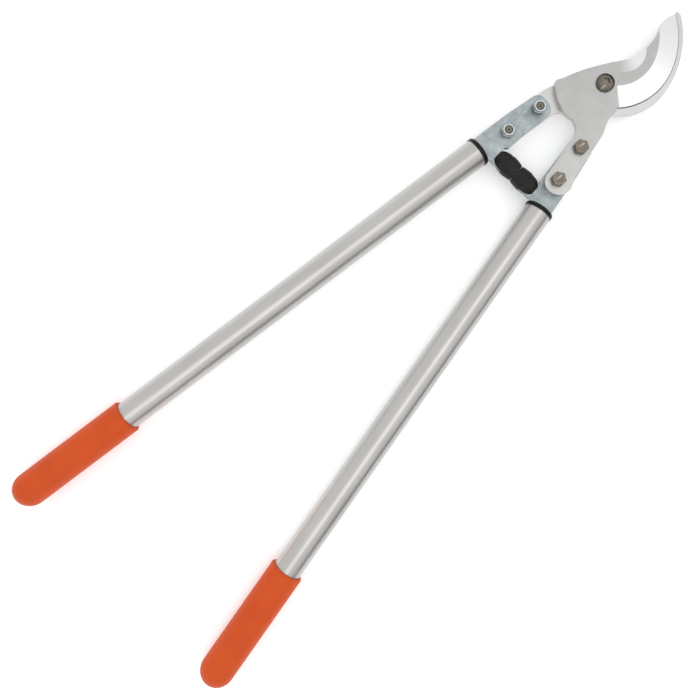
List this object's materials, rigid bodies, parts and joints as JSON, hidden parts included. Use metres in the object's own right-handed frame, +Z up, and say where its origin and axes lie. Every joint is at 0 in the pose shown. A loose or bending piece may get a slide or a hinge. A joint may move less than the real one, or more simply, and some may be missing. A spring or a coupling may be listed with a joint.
{
  "type": "bypass loppers",
  "caption": "Long-handled bypass loppers: a curved blade passes a curved hook on a bolted pivot, with tubular handles, round-ended grips and rubber bumpers.",
  "frame": {"origin": "under the middle of the whole tool, on the surface that it lies on", "axes": "+X towards the jaws, midway between the handles; +Y towards the handle that carries the hook; +Z up, along the pivot towards the bolt's head"},
  "size_m": [0.81, 0.2946, 0.035],
  "materials": {
    "hook_steel": "satin ground steel",
    "blade_steel": "satin steel with a brighter ground bevel",
    "tang_steel": "cloudy blue-grey zinc plating",
    "nickel": "polished nickel plating, warm grey",
    "zinc": "bright zinc plating",
    "nylon": "natural nylon",
    "bumper_rubber": "matt black moulded rubber",
    "collar_plastic": "satin black moulded plastic",
    "tube_aluminium": "satin anodised, drawn along the tube",
    "grip_vinyl": "orange vinyl, satin"
  },
  "bodies": {
    "hook_half": {"hook": "hook_steel", "pivot_bolt": "nickel", "pivot_washer": "zinc", "pivot_nut": "zinc", "pivot_nut_insert": "nylon", "hook_tang": "tang_steel", "hook_bumper": "bumper_rubber", "hook_collar": "collar_plastic", "hook_tube": "tube_aluminium", "hook_grip": "grip_vinyl", "hook_bolts": "nickel", "hook_nuts": "zinc", "hook_nut_inserts": "nylon"},
    "blade_half": {"blade": "blade_steel", "blade_tang": "tang_steel", "blade_bumper": "bumper_rubber", "blade_collar": "collar_plastic", "blade_tube": "tube_aluminium", "blade_grip": "grip_vinyl", "blade_bolts": "nickel", "blade_nuts": "zinc", "blade_nut_inserts": "nylon"}
  },
  "joints": [
    {"name": "jaw_pivot", "type": "hinge", "parent": "hook_half", "child": "blade_half", "pos_m": [0.2994, -0.0016, 0.0175], "axis": [0, 0, 1], "range_deg": [0, 60]}
  ]
}
